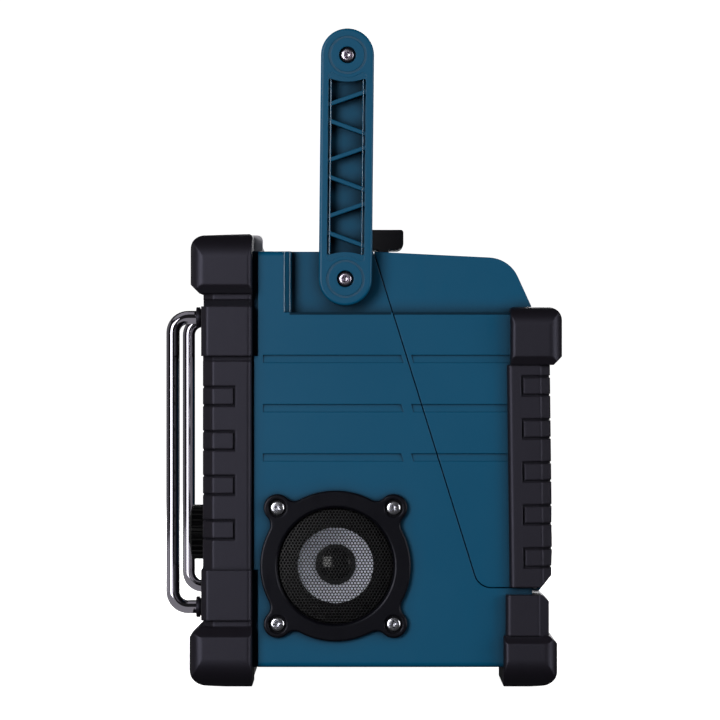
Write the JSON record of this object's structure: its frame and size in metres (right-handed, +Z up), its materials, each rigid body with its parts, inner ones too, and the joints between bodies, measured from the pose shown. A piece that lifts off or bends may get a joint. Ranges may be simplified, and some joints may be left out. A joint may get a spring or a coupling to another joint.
{
  "type": "jobsite radio",
  "caption": "Rugged portable radio with padded corners, swing-over carrying handle, guarded front console and a hinged battery cover.",
  "frame": {"origin": "on the ground below the middle of the radio", "axes": "+Z up, -Y the front with the console, +Y the battery cover, +X the right-hand flank seen from the rear"},
  "size_m": [0.262, 0.182, 0.3008],
  "materials": {
    "teal_shell": "fine satin texture",
    "corner_rubber": "dull moulded rubber",
    "tray_plastic": "moulded",
    "seal_rubber": "smooth",
    "steel": "bright zinc plate",
    "chrome_screw": "bright",
    "arm_screw": "bright zinc plate",
    "contact_brass": "plain",
    "bezel_plastic": "satin silver grey",
    "console_plastic": "semi-gloss black",
    "window": "clear, grey tint",
    "display": "liquid crystal display",
    "board": "solder-masked board",
    "component": "moulded components",
    "button_rubber": "soft keys",
    "knob_plastic": "satin, fluted",
    "guard_chrome": "bright plated tube",
    "ring_plastic": "moulded",
    "grille_steel": "black perforated sheet",
    "cone_paper": "coated paper",
    "cap_plastic": "domed",
    "ferrite": "sintered",
    "grip_rubber": "ribbed",
    "aluminium_tube": "drawn",
    "latch_plastic": "moulded",
    "whip_rubber": "rubber-coated spring wire"
  },
  "bodies": {
    "radio": {"front_cabinet": "teal_shell", "guard_collars": "corner_rubber", "front_bumper_left": "corner_rubber", "front_bumper_right": "corner_rubber", "rear_foot_left": "corner_rubber", "rear_foot_right": "corner_rubber", "battery_tray": "tray_plastic", "terminal_shoe": "tray_plastic", "cover_gasket": "seal_rubber", "speaker_surrounds": "seal_rubber", "tray_screws": "steel", "hinge_pin": "steel", "latch_spring": "steel", "pivot_pins": "steel", "speaker_screws": "chrome_screw", "pivot_screws": "arm_screw", "terminal_blades": "contact_brass", "front_bezel": "bezel_plastic", "console_panel": "console_plastic", "input_jacks": "console_plastic", "lcd_window": "window", "lcd_module": "display", "circuit_boards": "board", "board_components": "component", "guard_tube_left": "guard_chrome", "guard_tube_right": "guard_chrome", "speaker_ring_left": "ring_plastic", "speaker_ring_right": "ring_plastic", "speaker_grille_left": "grille_steel", "speaker_grille_right": "grille_steel", "speaker_baskets": "grille_steel", "speaker_cones": "cone_paper", "dust_caps": "cap_plastic", "speaker_magnets": "ferrite", "bar_antenna": "ferrite"},
    "handle": {"handle_arm_left": "teal_shell", "handle_arm_right": "teal_shell", "grip_core": "aluminium_tube", "grip_sleeve": "grip_rubber", "grip_screws": "arm_screw"},
    "cover": {"battery_cover": "teal_shell", "cover_bumper_left": "corner_rubber", "cover_bumper_right": "corner_rubber"},
    "latch_lever": {"latch": "latch_plastic"},
    "dial": {"tuning_knob": "knob_plastic", "knob_trim": "chrome_screw", "encoder_shaft": "steel"},
    "antenna": {"whip_antenna": "whip_rubber"},
    "cell_lid": {"backup_lid": "tray_plastic"},
    "socket_flap": {"dc_flap": "seal_rubber"},
    "power_button_cap": {"power_button": "button_rubber"},
    "source_button_cap": {"source_button": "button_rubber"},
    "radio_alarm_button_cap": {"radio_alarm_button": "button_rubber"},
    "buzzer_alarm_button_cap": {"buzzer_alarm_button": "button_rubber"},
    "preset_button_1_cap": {"preset_button_1": "button_rubber"},
    "preset_button_2_cap": {"preset_button_2": "button_rubber"},
    "preset_button_3_cap": {"preset_button_3": "button_rubber"},
    "preset_button_4_cap": {"preset_button_4": "button_rubber"},
    "preset_button_5_cap": {"preset_button_5": "button_rubber"},
    "tone_button_cap": {"tone_button": "button_rubber"}
  },
  "joints": [
    {"name": "handle_swing", "type": "hinge", "parent": "radio", "child": "handle", "pos_m": [0, -0.0079, 0.1865], "axis": [1, 0, 0], "range_deg": [-89, 30]},
    {"name": "cover_open", "type": "hinge", "parent": "radio", "child": "cover", "pos_m": [0, 0.0803, 0.045], "axis": [-1, 0, 0], "range_deg": [0, 90]},
    {"name": "latch_lift", "type": "hinge", "parent": "radio", "child": "latch_lever", "pos_m": [0, -0.004, 0.2063], "axis": [1, 0, 0], "range_deg": [0, 60], "stiffness_Nm_per_rad": 0.03, "springref_deg": -28.65},
    {"name": "knob_turn", "type": "hinge", "parent": "radio", "child": "dial", "pos_m": [0, -0.0762, 0.0662], "axis": [0, -1, 0], "continuous": true},
    {"name": "antenna_raise", "type": "hinge", "parent": "radio", "child": "antenna", "pos_m": [0.07, -0.0514, 0.1947], "axis": [0, -1, 0], "range_deg": [-90, 0]},
    {"name": "cell_lid_open", "type": "hinge", "parent": "radio", "child": "cell_lid", "pos_m": [0.079, 0.03309, 0.11051], "axis": [-1, 0, 0], "range_deg": [0, 90]},
    {"name": "flap_open", "type": "hinge", "parent": "radio", "child": "socket_flap", "pos_m": [-0.123, 0.038, 0.0332], "axis": [0, 1, 0], "range_deg": [0, 90]},
    {"name": "power_button_press", "type": "slide", "parent": "radio", "child": "power_button_cap", "axis": [0, 1, 0], "range_m": [0, 0.0012], "stiffness_N_per_m": 800, "springref_m": -0.0005},
    {"name": "source_button_press", "type": "slide", "parent": "radio", "child": "source_button_cap", "axis": [0, 1, 0], "range_m": [0, 0.0012], "stiffness_N_per_m": 800, "springref_m": -0.0005},
    {"name": "radio_alarm_button_press", "type": "slide", "parent": "radio", "child": "radio_alarm_button_cap", "axis": [0, 1, 0], "range_m": [0, 0.0012], "stiffness_N_per_m": 800, "springref_m": -0.0005},
    {"name": "buzzer_alarm_button_press", "type": "slide", "parent": "radio", "child": "buzzer_alarm_button_cap", "axis": [0, 1, 0], "range_m": [0, 0.0012], "stiffness_N_per_m": 800, "springref_m": -0.0005},
    {"name": "preset_button_1_press", "type": "slide", "parent": "radio", "child": "preset_button_1_cap", "axis": [0, 1, 0], "range_m": [0, 0.0012], "stiffness_N_per_m": 800, "springref_m": -0.0005},
    {"name": "preset_button_2_press", "type": "slide", "parent": "radio", "child": "preset_button_2_cap", "axis": [0, 1, 0], "range_m": [0, 0.0012], "stiffness_N_per_m": 800, "springref_m": -0.0005},
    {"name": "preset_button_3_press", "type": "slide", "parent": "radio", "child": "preset_button_3_cap", "axis": [0, 1, 0], "range_m": [0, 0.0012], "stiffness_N_per_m": 800, "springref_m": -0.0005},
    {"name": "preset_button_4_press", "type": "slide", "parent": "radio", "child": "preset_button_4_cap", "axis": [0, 1, 0], "range_m": [0, 0.0012], "stiffness_N_per_m": 800, "springref_m": -0.0005},
    {"name": "preset_button_5_press", "type": "slide", "parent": "radio", "child": "preset_button_5_cap", "axis": [0, 1, 0], "range_m": [0, 0.0012], "stiffness_N_per_m": 800, "springref_m": -0.0005},
    {"name": "tone_button_press", "type": "slide", "parent": "radio", "child": "tone_button_cap", "axis": [0, 1, 0], "range_m": [0, 0.0012], "stiffness_N_per_m": 800, "springref_m": -0.0005}
  ]
}
